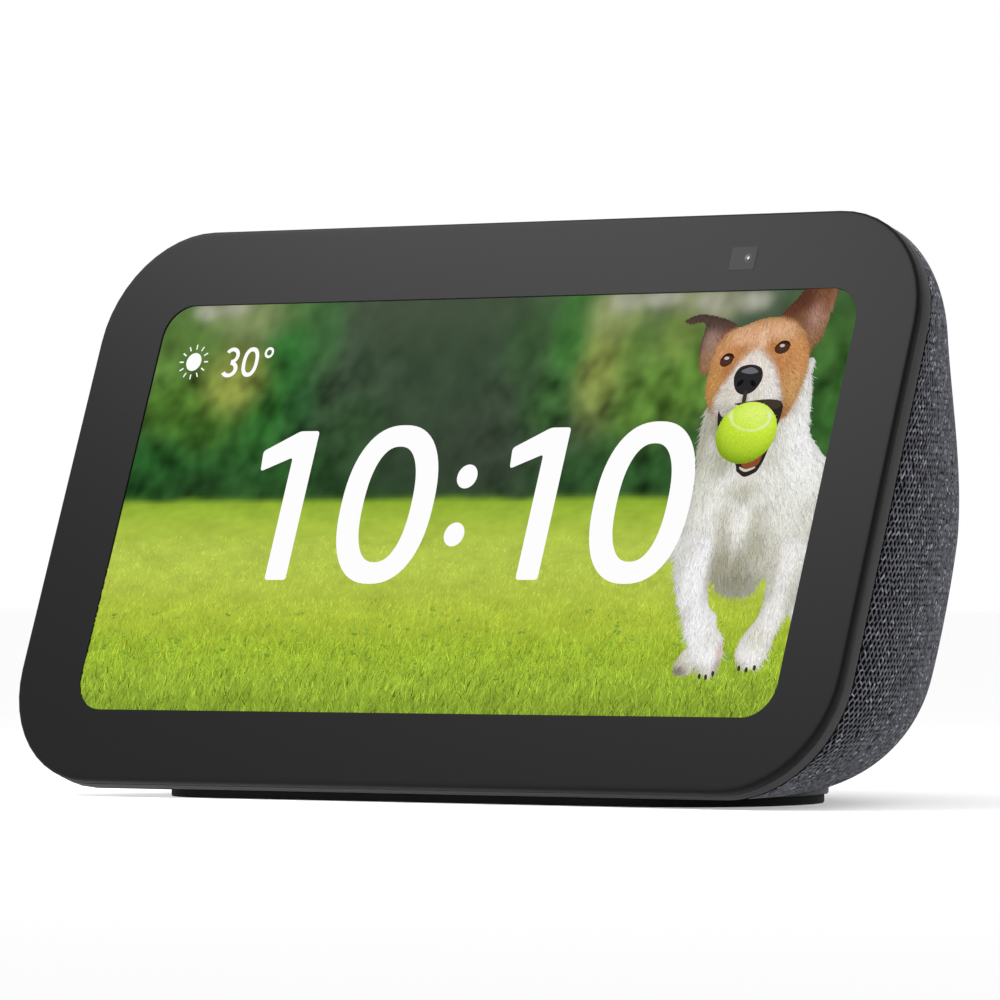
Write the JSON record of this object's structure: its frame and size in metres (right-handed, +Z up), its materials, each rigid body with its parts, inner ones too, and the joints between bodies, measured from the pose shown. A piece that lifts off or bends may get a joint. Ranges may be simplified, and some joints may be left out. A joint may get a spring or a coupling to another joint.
{
  "type": "smart display",
  "caption": "Table-top smart display: leaning rounded glass front with a lit screen and a shuttered camera, on a fabric-covered wedge with top keys and a rear speaker.",
  "frame": {"origin": "middle of the whole object's footprint, on the table's surface under the rubber foot", "axes": "+Z up; +X to the right as one faces the screen, along the longest side; the screen looks towards -Y and leans back, the speaker and the power inlet face +Y"},
  "size_m": [0.147, 0.091, 0.0822],
  "materials": {
    "cover_glass": "gloss",
    "adhesive": "matte",
    "frame_plastic": "satin",
    "screen_cell": "gloss",
    "diffuser": "satin",
    "pressed_steel": "satin",
    "screw_steel": "satin",
    "shell_plastic": "matte",
    "knit_fabric": "matte",
    "base_plastic": "matte",
    "foot_rubber": "matte",
    "strip_plastic": "satin",
    "key_plastic": "satin",
    "circuit_board": "satin",
    "switch_metal": "satin",
    "mic_metal": "satin",
    "gasket_foam": "matte",
    "camera_black": "matte",
    "lens_glass": "gloss",
    "shutter_white": "matte",
    "sensor_clear": "gloss",
    "can_metal": "satin",
    "chip_resin": "matte",
    "connector_nylon": "matte",
    "pad_silicone": "matte",
    "spreader_aluminium": "satin",
    "antenna_foil": "satin",
    "flex_polyimide": "satin",
    "enclosure_plastic": "matte",
    "grille_plastic": "matte",
    "basket_steel": "satin",
    "ferrite": "matte",
    "zinc_steel": "satin",
    "spider_cloth": "matte",
    "cone_paper": "matte",
    "cap_paper": "matte",
    "coil_copper": "satin",
    "surround_rubber": "matte",
    "wire_sleeve": "satin",
    "jack_plastic": "satin",
    "pin_metal": "polished",
    "bezel_plastic": "satin"
  },
  "bodies": {
    "housing": {"front_glass": "cover_glass", "glass_adhesive": "adhesive", "front_frame": "frame_plastic", "lcd_panel": "screen_cell", "backlight": "diffuser", "display_bracket": "pressed_steel", "bracket_screws": "screw_steel", "rear_shell": "shell_plastic", "shell_screws": "screw_steel", "fabric_cover": "knit_fabric", "base_plate": "base_plastic", "rubber_foot": "foot_rubber", "top_strip": "strip_plastic", "key_switches": "switch_metal", "top_board": "circuit_board", "microphones": "mic_metal", "microphone_gaskets": "gasket_foam", "camera_module": "camera_black", "camera_lens": "lens_glass", "camera_bracket": "pressed_steel", "light_sensor": "sensor_clear", "main_board": "circuit_board", "board_screws": "screw_steel", "shield_cans": "can_metal", "memory_chips": "chip_resin", "board_connectors": "connector_nylon", "wireless_module": "can_metal", "thermal_pad": "pad_silicone", "heat_spreader": "spreader_aluminium", "antennas": "antenna_foil", "display_flex": "flex_polyimide", "camera_flex": "flex_polyimide", "key_flex": "flex_polyimide", "speaker_enclosure": "enclosure_plastic", "speaker_grille": "grille_plastic", "speaker_basket": "basket_steel", "speaker_magnet": "ferrite", "speaker_top_plate": "zinc_steel", "speaker_back_plate": "zinc_steel", "speaker_gasket": "gasket_foam", "speaker_screws": "screw_steel", "speaker_wires": "wire_sleeve", "inlet_jack": "jack_plastic", "inlet_pin": "pin_metal", "inlet_bezel": "bezel_plastic", "inlet_wires": "wire_sleeve"},
    "shutter": {"shutter_blade": "shutter_white", "shutter_knob": "key_plastic"},
    "mute_key_body": {"mute_key": "key_plastic"},
    "volume_down_body": {"volume_down_key": "key_plastic"},
    "volume_up_body": {"volume_up_key": "key_plastic"},
    "speaker_moving": {"speaker_cone": "cone_paper", "speaker_dust_cap": "cap_paper", "speaker_voice_coil": "coil_copper", "speaker_surround": "surround_rubber", "speaker_spider": "spider_cloth"}
  },
  "joints": [
    {"name": "camera_shutter", "type": "slide", "parent": "housing", "child": "shutter", "axis": [1, 0, 0], "range_m": [0, 0.005]},
    {"name": "mute_press", "type": "slide", "parent": "housing", "child": "mute_key_body", "axis": [0, 0, -1], "range_m": [0, 0.0004], "stiffness_N_per_m": 3000},
    {"name": "volume_down_press", "type": "slide", "parent": "housing", "child": "volume_down_body", "axis": [0, 0, -1], "range_m": [0, 0.0004], "stiffness_N_per_m": 3000},
    {"name": "volume_up_press", "type": "slide", "parent": "housing", "child": "volume_up_body", "axis": [0, 0, -1], "range_m": [0, 0.0004], "stiffness_N_per_m": 3000},
    {"name": "speaker_cone_stroke", "type": "slide", "parent": "housing", "child": "speaker_moving", "axis": [0, 1, 0], "range_m": [-0.0008, 0.0008], "stiffness_N_per_m": 950, "deforming": ["speaker_surround", "speaker_spider"]}
  ]
}
